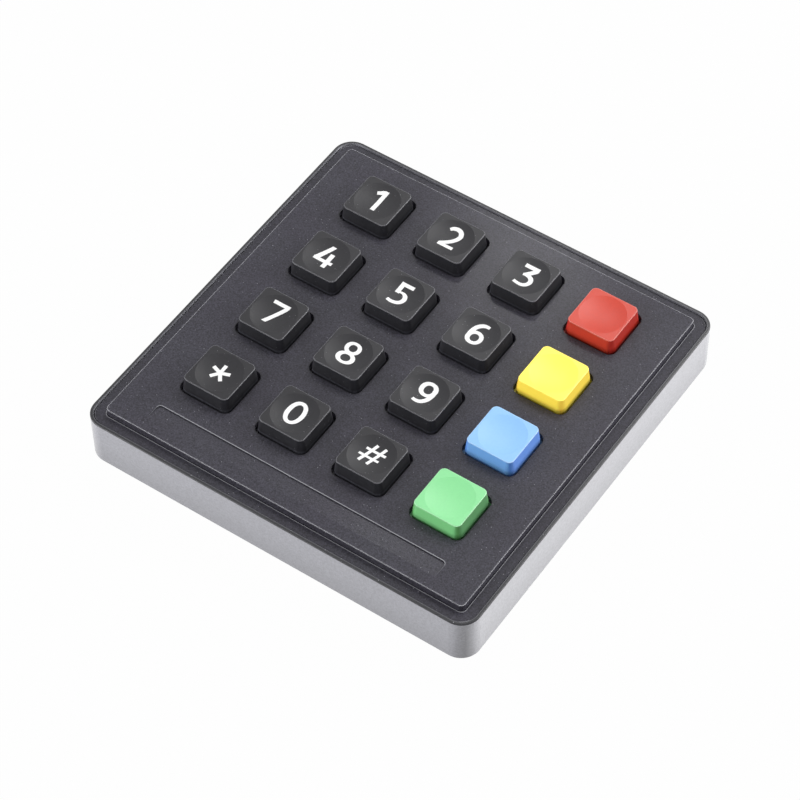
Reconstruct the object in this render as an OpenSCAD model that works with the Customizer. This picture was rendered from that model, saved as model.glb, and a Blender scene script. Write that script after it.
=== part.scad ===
// Sixteen-key industrial keypad: a moulded surround, a drop-in front panel with
// dished square keys, a silicone switch mat over a circuit board, and a screwed rear cover.
// Origin: centre of the surround, at its rear rim. +X to the right, +Y to the top row, +Z out of the front.

/* [Surround] */
// Width of the surround
body_w = 95.4; // [92:0.1:110]
// Height of the surround, bottom row to top row
body_h = 95.2; // [92:0.1:110]
// Depth from the rear rim to the top of the lip
case_d = 11.8; // [10.8:0.1:16]
// Radius of the upright outer corners
body_r = 4.5; // [3.6:0.1:7]
// Wall thickness beside the circuit board
wall = 2.9; // [2.4:0.1:3.4]
// Width of the lip that frames the front panel
lip_w = 0.75; // [0.7:0.05:1.2]
// Rounding of the outer edge of the lip
lip_round = 0.3; // [0.2:0.05:0.65]
// Rounding of the outer edge of the rear rim
rim_round = 0.25; // [0.1:0.05:0.5]
// Wall left beside the rear cover
rim_w = 1.7; // [1.2:0.1:2.2]

/* [Front panel] */
// Shadow gap between the lip and the panel
panel_gap = 0.2; // [0.2:0.05:0.6]
// Depth of the panel's rim below the lip
ring_drop = 0.4; // [0.1:0.05:0.8]
// Width of the panel's rim outside the raised field
ring_w = 2.6; // [2:0.05:3]
// Height of the raised field above the rim
field_rise = 1.7; // [1:0.1:2.5]
// Corner radius of the raised field
field_r = 1.1; // [0.6:0.1:2.5]
// Rounding of the raised field's edge
field_edge = 0.16; // [0.1:0.02:0.4]
// Rounding of the rim's outer edge
ring_edge = 0.12; // [0.08:0.02:0.3]
// Thickness of the panel's plate, rim and skirt
panel_t = 1.8; // [1.4:0.1:2.2]
// Width of the shadow groove round the raised field
groove_w = 0.2; // [0.2:0.05:0.8]
// Depth of the shadow groove
groove_d = 0.35; // [0.15:0.05:0.8]
// Gap between the panel's skirt and the surround
skirt_gap = 0.5; // [0.3:0.05:1]
// Length of the label ledge under the keys
label_w = 71; // [50:1:76]
// Distance from the label ledge's step to the raised field's lower edge
label_up = 7.25; // [6.5:0.25:8]
// Length over which the label ledge runs out
label_run = 4.2; // [2:0.2:5.5]
// Depth of the label ledge at its step
label_d = 0.3; // [0.1:0.05:0.6]
// Corner radius of the label ledge
label_r = 0.9; // [0.3:0.1:1.5]

/* [Keys] */
// Distance between key centres
pitch = 19.05; // [18:0.05:19.6]
// Height of the key grid's centre above the surround's centre
grid_up = 3.5; // [1:0.1:3.8]
// Width of a key's top, to its sharp corner
key_top = 11.1; // [9.5:0.1:11.6]
// Width of a key where it leaves the panel
key_base = 11.9; // [11.7:0.1:13]
// Height of a key above the raised field
key_rise = 3.2; // [2:0.1:5]
// Corner radius of a key's top
key_r = 1.2; // [0.8:0.1:2.5]
// Rounding of a key's top edge
key_edge = 0.15; // [0.1:0.05:0.5]
// Diameter of the dish in a key's top
dish_w = 10.2; // [6:0.1:10.3]
// Depth of the dish
dish_d = 0.38; // [0.1:0.02:0.8]
// Clearance between a key and its opening
key_gap = 0.55; // [0.3:0.05:0.7]
// Overlap of a key's flange behind the panel
flange_lap = 0.6; // [0.4:0.05:0.8]
// Thickness of a key's flange
flange_t = 0.8; // [0.6:0.1:1.2]
// Play between a key's flange and the panel
flange_play = 0.1; // [0.05:0.05:0.2]
// Wall of a hollow key
key_wall = 1.3; // [1:0.1:1.6]
// Thickness of a key's crown, from its rim
crown_t = 1.7; // [1.4:0.1:2.2]
// Diameter of a key's stem
stem_d = 5.2; // [4:0.1:6]
// Length of a key's stem below its flange
stem_out = 0.4; // [0.2:0.1:0.8]
// Travel of a key
key_travel = 1.2; // [0.6:0.1:1.4]

/* [Switch mat] */
// Thickness of the mat's sheet
mat_t = 1; // [0.6:0.1:1.2]
// Height of a dome above the sheet
dome_h = 2.6; // [2.3:0.1:3]
// Diameter of a dome at the sheet
dome_d = 10.4; // [9.4:0.1:11]
// Thickness of a dome's web
web_t = 0.55; // [0.4:0.05:0.7]
// Diameter of a contact pill
pill_d = 4; // [3:0.1:4.6]
// Thickness of a contact pill
pill_t = 0.6; // [0.4:0.05:0.7]
// Air left under a pill at full travel
pill_air = 0.05; // [0.02:0.01:0.1]

/* [Circuit board] */
// Thickness of the circuit board
pcb_t = 1.6; // [1:0.1:1.6]
// Number of pins in the rear connector
pins = 8; // [6:1:10]
// Distance between pins
pin_pitch = 2.54; // [2:0.02:2.54]
// Width of a square pin
pin_w = 0.64; // [0.5:0.02:0.7]
// Wall of the connector's shroud
shroud_wall = 0.7; // [0.5:0.1:1]
// Width of the space between a pin and the shroud's wall
shroud_space = 1.6; // [1.2:0.1:2]
// Distance from the connector's centre to the surround's lower face
header_in = 11; // [10:0.5:12]
// Clearance of a pin in the board
pin_gap = 0.06; // [0.03:0.01:0.12]

/* [Rear cover and fasteners] */
// Depth of the cover behind the rear rim
cover_in = 0.6; // [0.3:0.1:0.8]
// Thickness of the rear cover
cover_t = 1.6; // [1.4:0.1:1.8]
// Clearance round the rear cover and its window
cover_gap = 0.3; // [0.2:0.05:0.5]
// Distance from an insert's axis to the outer faces
insert_in = 6.5; // [6:0.1:7.5]
// Outer diameter of a threaded insert
insert_d = 4; // [3.8:0.1:4.6]
// Bore of a threaded insert, for an M3 thread
insert_bore = 2.5; // [2.4:0.05:2.6]
// Length of a threaded insert
insert_l = 5; // [3:0.5:5.5]
// Plastic round an insert
insert_wall = 1.6; // [1.2:0.1:2]
// Shank diameter of a cover screw
screw_d = 2.2; // [2:0.1:2.5]
// Head diameter of a cover screw
head_d = 4; // [3.6:0.1:4.2]
// Head height of a cover screw
head_t = 1.2; // [1:0.1:1.3]
// Depth of the counterbore for a screw head
sink_d = 1.45; // [1.35:0.05:1.6]
// Plastic round a cover screw
boss_wall = 1.35; // [1.1:0.05:1.5]
// Width of the seal under the panel's rim
seal_w = 0.9; // [0.6:0.05:1]
// Thickness of the seal
seal_t = 0.7; // [0.4:0.05:1]

/* [Hidden] */
$fn = 64;
KEYS = ["1", "2", "3", "red", "4", "5", "6", "yellow", "7", "8", "9", "blue", "star", "0", "hash", "green"];

// Overrun of a cutting shape past the face that it leaves
over = 1;
// Slots across the grid
COLS = 4;

// Levels, from the rear rim up
cover_z = cover_in;
shoulder_z = cover_z + cover_t;
ring_z = case_d - ring_drop;
ledge_z = ring_z - panel_t;
field_z = ring_z + field_rise;
plate_z = field_z - panel_t;
flange_top_z = plate_z - flange_play;
flange_z = flange_top_z - flange_t;
stem_z = flange_z - stem_out;
mat_top_z = stem_z - dome_h;
board_top_z = mat_top_z - mat_t;
board_z = board_top_z - pcb_t;
pill_z = board_top_z + key_travel + pill_air;
key_z = field_z + key_rise;
skirt_z = mat_top_z;

// Outlines in plan
panel_w = body_w - 2 * (lip_w + panel_gap);
panel_h = body_h - 2 * (lip_w + panel_gap);
panel_r = body_r - lip_w - panel_gap;
field_w = panel_w - 2 * ring_w;
field_h = panel_h - 2 * ring_w;
bore_w = max(body_w - 2 * wall, field_w + 2 * skirt_gap);
bore_h = max(body_h - 2 * wall, field_h + 2 * skirt_gap);
bore_r = max(field_r, body_r - wall);
recess_w = body_w - 2 * rim_w;
recess_h = body_h - 2 * rim_w;
recess_r = body_r - rim_w;
inner_r = 0.5;
opening_w = key_base + 2 * key_gap;
base_r = key_r + (key_base - key_top) / 2;
opening_r = base_r + key_gap * 0.5;
flange_w = opening_w + 2 * flange_lap;

// Fastener places
insert_x = body_w / 2 - insert_in;
insert_y = body_h / 2 - insert_in;
pad_r = insert_d / 2 + insert_wall;
pad_z = insert_l + insert_wall;
boss_r = screw_d / 2 + boss_wall;
boss_gap = 0.3;
boss_lap = 0.45;
screw_x = field_w / 2 - panel_t - boss_r + boss_lap;
SCREWS = [
  [-screw_x, grid_up + 1.5 * pitch - boss_r], [screw_x, grid_up + 1.5 * pitch - boss_r],
  [0, grid_up + pitch], [0, grid_up - pitch],
  [-screw_x, grid_up - 1.5 * pitch], [screw_x, grid_up - 1.5 * pitch]
];
head_z = cover_z + sink_d;
screw_tip_z = plate_z - 0.8;
header_w = (pins - 1) * pin_pitch + pin_w + 2 * (shroud_space + shroud_wall);
header_h = pin_w + 2 * (shroud_space + shroud_wall);
header_y = header_in - body_h / 2;
shroud_floor = 1;

function key_x(i) = (i % COLS - 1.5) * pitch;
function key_y(i) = grid_up + (1.5 - floor(i / COLS)) * pitch;
function key_colour(i) =
  i % COLS < 3 ? "#2b2b2e" : [ "#d8402f", "#f7dd1c", "#6fb0f2", "#6fd07c" ][floor(i / COLS)];

// A rectangle with round corners, in plan
module round_rect(w, h, r) {
  square([w, h - 2 * r], center = true);
  square([w - 2 * r, h], center = true);
  for (sx = [-1, 1], sy = [-1, 1])
    translate([sx * (w / 2 - r), sy * (h / 2 - r)])
      circle(r);
}

// Half of an upright section that reaches out to x = w, rounded at its top and bottom edges
module half_section(w, t, top_f, low_f) {
  translate([0, low_f])
    square([w, t - top_f - low_f]);
  square([w - max(top_f, low_f), t]);
  translate([w - top_f, t - top_f])
    circle(top_f);
  if (low_f > 0)
    translate([w - low_f, low_f])
      circle(low_f);
  if (low_f < top_f)
    square([w - low_f, t - top_f]);
}

// A rounded slab: two crossed bars and four quarter turns of the same section
module slab(w, h, r, z0, z1, top_f, low_f = 0) {
  t = z1 - z0;
  translate([0, 0, z0]) {
    for (side = [0, 180])
      rotate([0, 0, side]) {
        translate([0, h / 2 - r, 0])
          rotate([90, 0, 0])
            linear_extrude(h - 2 * r)
              half_section(w / 2, t, top_f, low_f);
        rotate([0, 0, 90])
          translate([0, w / 2 - r, 0])
            rotate([90, 0, 0])
              linear_extrude(w - 2 * r)
                half_section(h / 2, t, top_f, low_f);
      }
    for (k = [0 : 3])
      translate([(k == 0 || k == 3 ? 1 : -1) * (w / 2 - r), (k < 2 ? 1 : -1) * (h / 2 - r), 0])
        rotate([0, 0, 90 * k])
          rotate_extrude(angle = 90)
            half_section(r, t, top_f, low_f);
  }
}

// A straight prism with round upright corners
module prism(w, h, r, z0, z1) {
  translate([0, 0, z0])
    linear_extrude(z1 - z0)
      round_rect(w, h, r);
}

// The four corner areas that the insert pads take up, in plan
module corner_pads(grow) {
  for (sx = [0, 1], sy = [0, 1])
    mirror([sx, 0])
      mirror([0, sy])
        translate([insert_x, insert_y]) {
          circle(pad_r + grow);
          translate([0, -pad_r - grow])
            square([insert_in, insert_in + pad_r + grow]);
          translate([-pad_r - grow, 0])
            square([insert_in + pad_r + grow, insert_in]);
        }
}

// Places its children at every cover screw
module at_screws() {
  for (p = SCREWS)
    translate([p[0], p[1], 0])
      children();
}

// Surround: outer wall, lip, ledge for the panel, shoulder for the cover and pads for the inserts
module case() {
  color("#37373b")
    difference() {
      slab(body_w, body_h, body_r, 0, case_d, lip_round, rim_round);
      prism(body_w - 2 * lip_w, body_h - 2 * lip_w, body_r - lip_w, ledge_z, case_d + over);
      translate([0, 0, shoulder_z - 0.01])
        linear_extrude(pad_z - shoulder_z + 0.01)
          difference() {
            round_rect(bore_w, bore_h, bore_r);
            corner_pads(0);
          }
      prism(bore_w, bore_h, bore_r, pad_z, ledge_z + over);
      translate([0, 0, -over])
        linear_extrude(shoulder_z + over)
          difference() {
            round_rect(recess_w, recess_h, recess_r);
            corner_pads(0);
          }
      for (sx = [-1, 1], sy = [-1, 1])
        translate([sx * insert_x, sy * insert_y, -over])
          cylinder(d = insert_d, h = insert_l + over);
      seal_ring(0);
    }
}

// The band that the seal fills, in the surround's ledge
module seal_ring(slack) {
  seat = (bore_w / 2 + body_w / 2 - lip_w) / 2;
  seat_h = (bore_h / 2 + body_h / 2 - lip_w) / 2;
  outer_r = max(inner_r, body_r - (body_w / 2 - seat)) + seal_w / 2;
  translate([0, 0, ledge_z - seal_t])
    linear_extrude(seal_t)
      difference() {
        round_rect(2 * seat + seal_w - slack, 2 * seat_h + seal_w - slack, outer_r - slack / 2);
        round_rect(2 * seat - seal_w + slack, 2 * seat_h - seal_w + slack, outer_r - seal_w + slack / 2);
      }
}

module panel_seal() {
  color("#1c1c1e")
    seal_ring(0.1);
}

// The shallow label ledge: a step that runs out towards the panel's lower edge
module label_cut() {
  step_y = -field_h / 2 + label_up;
  intersection() {
    translate([-label_w / 2 - over, step_y, field_z])
      rotate([90, 0, 90])
        linear_extrude(label_w + 2 * over)
          polygon([[over, -label_d], [over, over], [-label_run, over], [-label_run, 0], [0, -label_d]]);
    translate([0, step_y - label_run, field_z - over])
      linear_extrude(2 * over)
        round_rect(label_w, 2 * label_run, label_r);
  }
}

// Front panel: rim, raised field with sixteen openings, skirt and screw bosses
module front_panel() {
  color("#3f3f43")
    difference() {
      union() {
        difference() {
          union() {
            difference() {
              slab(panel_w, panel_h, panel_r, ledge_z, ring_z, ring_edge);
              prism(field_w + 2 * groove_w, field_h + 2 * groove_w, field_r + groove_w, ring_z - groove_d, field_z);
            }
            slab(field_w, field_h, field_r, skirt_z, field_z, field_edge);
          }
          prism(field_w - 2 * panel_t, field_h - 2 * panel_t, inner_r, skirt_z - over, plate_z);
        }
        at_screws()
          translate([0, 0, board_top_z])
            cylinder(r = boss_r, h = plate_z - board_top_z + panel_t / 2);
      }
      for (i = [0 : len(KEYS) - 1])
        translate([key_x(i), key_y(i), 0])
          prism(opening_w, opening_w, opening_r, plate_z - over, field_z + over);
      if (pad_z + boss_gap > skirt_z)
        translate([0, 0, skirt_z - over])
          linear_extrude(pad_z + boss_gap - skirt_z + over)
            corner_pads(boss_gap);
      at_screws()
        translate([0, 0, board_top_z - over])
          cylinder(d = screw_d, h = screw_tip_z + 0.3 - board_top_z + over);
      label_cut();
    }
}

// One key: a tapered, dished, hollow cap on a straight neck, with a retaining flange and a stem
module key_cap(i) {
  draft = atan((key_base - key_top) / 2 / key_rise);
  tip = key_edge / tan(45 + draft / 2);
  top = key_top / 2;
  centre = top - key_r;
  sphere_r = (pow(dish_w / 2, 2) + pow(dish_d, 2)) / (2 * dish_d);
  translate([key_x(i), key_y(i), 0])
    color(key_colour(i))
      difference() {
        union() {
          translate([0, 0, field_z])
            for (k = [0 : 3])
              rotate([0, 0, 90 * k]) {
                translate([0, centre, 0])
                  rotate([90, 0, 0])
                    linear_extrude(2 * centre)
                      key_section(top, draft, tip);
                translate([centre, centre, 0])
                  rotate_extrude(angle = 90)
                    key_section(key_r, draft, tip);
              }
          prism(key_base, key_base, base_r, flange_top_z - flange_t / 2, field_z);
          prism(flange_w, flange_w, opening_r + flange_lap, flange_z, flange_top_z);
          translate([0, 0, stem_z])
            cylinder(d = stem_d, h = flange_top_z - stem_z);
        }
        translate([0, 0, key_z - dish_d + sphere_r])
          sphere(sphere_r, $fn = 180);
        translate([0, 0, flange_z - over])
          linear_extrude(key_z - crown_t - flange_z + over)
            difference() {
              round_rect(key_base - 2 * key_wall, key_base - 2 * key_wall, base_r / 2);
              circle(d = stem_d);
            }
      }
}

// Half of a key's tapered section; top is its half width at the crown
module key_section(top, draft, tip) {
  polygon([
    [0, 0], [top + key_rise * tan(draft), 0],
    [top + tip * sin(draft), key_rise - tip * cos(draft)],
    [top - tip, key_rise - key_edge], [top - tip, key_rise], [0, key_rise]
  ]);
  translate([top - tip, key_rise - key_edge])
    circle(key_edge);
}

// Carbon pill on the underside of a dome
module pill(i) {
  color("#141415")
    translate([key_x(i), key_y(i), pill_z])
      cylinder(d = pill_d, h = pill_t);
}

// Silicone mat: one sheet with sixteen conical domes
module key_mat() {
  foot = dome_d / 2;
  plug = stem_d / 2;
  under = pill_z + pill_t;
  web = web_t / cos(atan((dome_h - 1.2) / (foot - plug)));
  color("#8f9094") {
    difference() {
      union() {
        translate([0, 0, board_top_z])
          linear_extrude(mat_t)
            difference() {
              round_rect(field_w, field_h, field_r);
              corner_pads(boss_gap);
              for (p = SCREWS)
                translate(p)
                  circle(boss_r + boss_gap);
            }
        for (i = [0 : len(KEYS) - 1])
          translate([key_x(i), key_y(i), 0])
            rotate_extrude()
              polygon([
                [0, board_top_z], [foot, board_top_z], [foot, mat_top_z],
                [plug, stem_z - 1.2], [plug, stem_z], [0, stem_z]
              ]);
      }
      for (i = [0 : len(KEYS) - 1])
        translate([key_x(i), key_y(i), 0])
          rotate_extrude()
            polygon([
              [0, board_top_z - over], [foot - web_t, board_top_z - over],
              [foot - web_t, mat_top_z - web / 2], [pill_d / 2 + 0.2, under], [0, under]
            ]);
    }
  }
}

// Circuit board, cut clear of the insert pads
module pcb() {
  color("#1f6b3f")
    translate([0, 0, board_z])
      linear_extrude(pcb_t)
        difference() {
          round_rect(field_w, field_h, field_r);
          corner_pads(boss_gap);
          for (p = SCREWS)
            translate(p)
              circle(d = screw_d + 2 * boss_gap);
          for (k = [0 : pins - 1])
            translate([(k - (pins - 1) / 2) * pin_pitch, header_y])
              circle(pin_w * sqrt(0.5) + pin_gap);
        }
}

// Rear connector: an open shroud on the board, with its floor towards the board
module header_shroud() {
  color("#e8e4d8")
    translate([0, header_y, cover_z])
      difference() {
        linear_extrude(board_z - cover_z)
          square([header_w, header_h], center = true);
        translate([0, 0, -over])
          linear_extrude(board_z - cover_z - shroud_floor + over)
            square([header_w - 2 * shroud_wall, header_h - 2 * shroud_wall], center = true);
        for (k = [0 : pins - 1])
          translate([(k - (pins - 1) / 2) * pin_pitch, 0, 0])
            linear_extrude(2 * board_z)
              square(pin_w, center = true);
      }
}

// Square pins, through the shroud's floor and into the board
module header_pins() {
  pin_low = cover_z + 0.4;
  color("#c9b36a")
    for (k = [0 : pins - 1])
      translate([(k - (pins - 1) / 2) * pin_pitch, header_y, pin_low])
        linear_extrude(board_top_z - pin_low - 0.1)
          square(pin_w, center = true);
}

// Rear cover: plate, pillars up to the board, screw counterbores and the connector's window
module rear_cover() {
  color("#323236")
    difference() {
      union() {
        translate([0, 0, cover_z])
          linear_extrude(cover_t)
            difference() {
              round_rect(recess_w - 2 * cover_gap, recess_h - 2 * cover_gap, recess_r - cover_gap);
              corner_pads(cover_gap);
            }
        at_screws()
          translate([0, 0, cover_z])
            cylinder(r = head_d / 2 + 1, h = board_z - cover_z);
      }
      translate([0, header_y, cover_z - over])
        linear_extrude(cover_t + 2 * over)
          square([header_w + 2 * cover_gap, header_h + 2 * cover_gap], center = true);
      at_screws()
        translate([0, 0, cover_z - over]) {
          cylinder(d = screw_d + boss_gap, h = board_z + 2 * over);
          cylinder(r = head_d / 2 + boss_gap, h = sink_d + over);
        }
    }
}

// Pan-head screws with a cross recess
module cover_screws() {
  slot_w = screw_d / 3;
  color("#b9bbbf")
    at_screws() {
      difference() {
        translate([0, 0, head_z - head_t])
          cylinder(d = head_d, h = head_t);
        for (turn = [0, 90])
          rotate([0, 0, turn])
            translate([-head_d * 0.3, -slot_w / 2, head_z - head_t - over])
              cube([head_d * 0.6, slot_w, head_t / 2 + over]);
      }
      translate([0, 0, head_z])
        cylinder(d = screw_d, h = screw_tip_z - head_z);
    }
}

// Brass threaded inserts, flush with the rear rim
module mount_inserts() {
  color("#c8a34a")
    for (sx = [-1, 1], sy = [-1, 1])
      translate([sx * insert_x, sy * insert_y, 0])
        difference() {
          cylinder(d = insert_d, h = insert_l);
          translate([0, 0, -over])
            cylinder(d = insert_bore, h = insert_l + 2 * over);
          translate([0, 0, insert_l * 0.42])
            difference() {
              cylinder(d = insert_d + over, h = insert_l * 0.16);
              cylinder(d = insert_d - 0.5, h = insert_l * 0.16);
            }
        }
}

case();
front_panel();
panel_seal();
key_mat();
pcb();
header_shroud();
header_pins();
rear_cover();
cover_screws();
mount_inserts();
for (i = [0 : len(KEYS) - 1]) {
  key_cap(i);
  pill(i);
}
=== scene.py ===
"""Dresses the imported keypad: finishes, printed legends, fasteners, studio and camera."""

from __future__ import annotations

import logging
import math
from collections.abc import Iterable, Mapping, Sequence
from dataclasses import dataclass, field
from enum import Enum

import bmesh
import bpy
from mathutils import Matrix, Vector
from mathutils.bvhtree import BVHTree
from mathutils.geometry import delaunay_2d_cdt


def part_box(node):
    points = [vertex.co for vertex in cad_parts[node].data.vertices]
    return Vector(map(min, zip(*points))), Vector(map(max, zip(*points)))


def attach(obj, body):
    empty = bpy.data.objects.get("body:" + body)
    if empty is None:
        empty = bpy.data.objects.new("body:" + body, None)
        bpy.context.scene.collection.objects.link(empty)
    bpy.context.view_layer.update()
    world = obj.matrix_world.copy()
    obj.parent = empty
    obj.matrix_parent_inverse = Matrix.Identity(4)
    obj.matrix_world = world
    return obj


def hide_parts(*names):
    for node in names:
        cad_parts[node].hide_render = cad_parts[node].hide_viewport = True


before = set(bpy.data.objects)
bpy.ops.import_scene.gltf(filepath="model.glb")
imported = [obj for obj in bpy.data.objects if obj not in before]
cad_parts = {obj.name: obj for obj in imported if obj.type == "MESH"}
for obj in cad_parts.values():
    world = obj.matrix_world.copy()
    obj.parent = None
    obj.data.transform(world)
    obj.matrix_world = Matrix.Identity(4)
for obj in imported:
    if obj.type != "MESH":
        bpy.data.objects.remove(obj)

LOG = logging.getLogger("keypad")
MM = 0.001
# The colour sockets of a Mix node share their names with others, so they go by number
MIX_A, MIX_B, MIX_OUT = 6, 7, 2
# The values of a noise that its pattern is spread over, since few points lie outside them
GRAIN_LOW, GRAIN_HIGH = 0.3, 0.7
CLOUD_LOW, CLOUD_HIGH = 0.35, 0.65
# Distances from the middle of a fleck's cell, in cells, where the fleck is full and where it has gone
FLECK_FULL, FLECK_GONE = 0.04, 0.11
# Openness inside the surface: about half at a square edge, where the painted edge highlight is full, near 1 on
# a flat
EDGE_HIGHLIGHT_FULL, EDGE_HIGHLIGHT_GONE = 0.55, 0.88
# How far sideways a wall faces where the painted light of its front, its corner and its side is full
WALL_FRONT, WALL_CORNER, WALL_SIDE = 0.25, 0.7, 0.96
# Points closer than this, in metres, are one
WELD = 1e-7

Point2 = tuple[float, float]
Point3 = tuple[float, float, float]
Rgba = tuple[float, float, float, float]
Tree = bpy.types.NodeTree
Node = bpy.types.Node
Socket = bpy.types.NodeSocket
Source = Node | Socket
Faces = list[list[int]]


def linear(hex_colour: str) -> Rgba:
    """Turns an sRGB hex colour into Blender's linear colour.

    Args:
        hex_colour: Six hex digits after a hash sign.

    Returns:
        Linear red, green and blue with full alpha.
    """
    parts = [int(hex_colour[i : i + 2], 16) / 255 for i in (1, 3, 5)]
    r, g, b = [c / 12.92 if c <= 0.04045 else ((c + 0.055) / 1.055) ** 2.4 for c in parts]
    return (r, g, b, 1.0)


def per_mm(size_mm: float) -> float:
    """Returns the texture scale, in cells per metre, of a pattern that repeats every size_mm."""
    return 1000.0 / size_mm


def output(source: Source) -> Socket:
    """Returns a socket as it is, and a node's first output."""
    return source if isinstance(source, Socket) else source.outputs[0]


def add_node(
    tree: Tree, kind: str, inputs: Mapping[str | int, object] | Sequence[object] = (), **settings: object
) -> Node:
    """Adds a node, sets its properties and fills or links its inputs.

    Args:
        tree: The node tree that gets the node.
        kind: The node's type name in Blender.
        inputs: A value, a socket or a node for each input, by name or number or else in order.
        **settings: The node's own properties.

    Returns:
        The new node.
    """
    node = tree.nodes.new(kind)
    for name, value in settings.items():
        setattr(node, name, value)
    for key, value in inputs.items() if isinstance(inputs, Mapping) else enumerate(inputs):
        if isinstance(value, Source):
            tree.links.new(output(value), node.inputs[key])
        else:
            node.inputs[key].default_value = value
    return node


def new_object(
    name: str, data: bpy.types.ID, material: bpy.types.Material | None = None
) -> bpy.types.Object:
    """Puts a mesh, a lamp or a camera into the scene.

    Args:
        name: The object's name.
        data: What it shows, in metres in the part's frame.
        material: A mesh's finish.

    Returns:
        The new object.
    """
    obj = bpy.data.objects.new(name, data)
    bpy.context.scene.collection.objects.link(obj)
    if material:
        data.materials.append(material)
    return obj


@dataclass(frozen=True)
class Finish:
    """A surface finish: one Principled material with a pattern from a real size.

    Sizes are in millimetres. Roughness and IOR are those of the real material, matched to
    the object. The glow is painted light: an emission that stands in for light passing through a translucent
    cap.
    """

    name: str
    colour: str
    roughness: float
    ior: float = 1.5
    specular: float = 0.5
    metallic: float = 0.0
    coat: float = 0.0
    coat_roughness: float = 0.1
    coat_ior: float = 1.5
    # A painted glow: emission that stands in for light passing through a translucent cap
    glow: str = "#000000"
    painted_glow_share: float = 0.0

    def shader(self, tree: Tree) -> Node:
        """Adds the Principled shader with the constant values on its own sockets."""
        return add_node(
            tree,
            "ShaderNodeBsdfPrincipled",
            {
                "Base Color": linear(self.colour),
                "Roughness": self.roughness,
                "IOR": self.ior,
                "Specular IOR Level": self.specular,
                "Metallic": self.metallic,
                "Coat Weight": self.coat,
                "Coat Roughness": self.coat_roughness,
                "Coat IOR": self.coat_ior,
                "Emission Color": linear(self.glow),
                "Emission Strength": self.painted_glow_share,
            },
        )

    def dress(self, tree: Tree, shader: Node) -> None:
        """Adds the pattern of the finish. The plain finish has none."""

    def material(self) -> bpy.types.Material:
        """Builds the material.

        Returns:
            A new material, or the one already built under this name.
        """
        made = bpy.data.materials.get(self.name)
        if made:
            return made
        made = bpy.data.materials.new(self.name)
        made.use_nodes = True
        tree = made.node_tree
        tree.nodes.clear()
        shader = self.shader(tree)
        add_node(tree, "ShaderNodeOutputMaterial", {"Surface": shader})
        self.dress(tree, shader)
        return made


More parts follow.
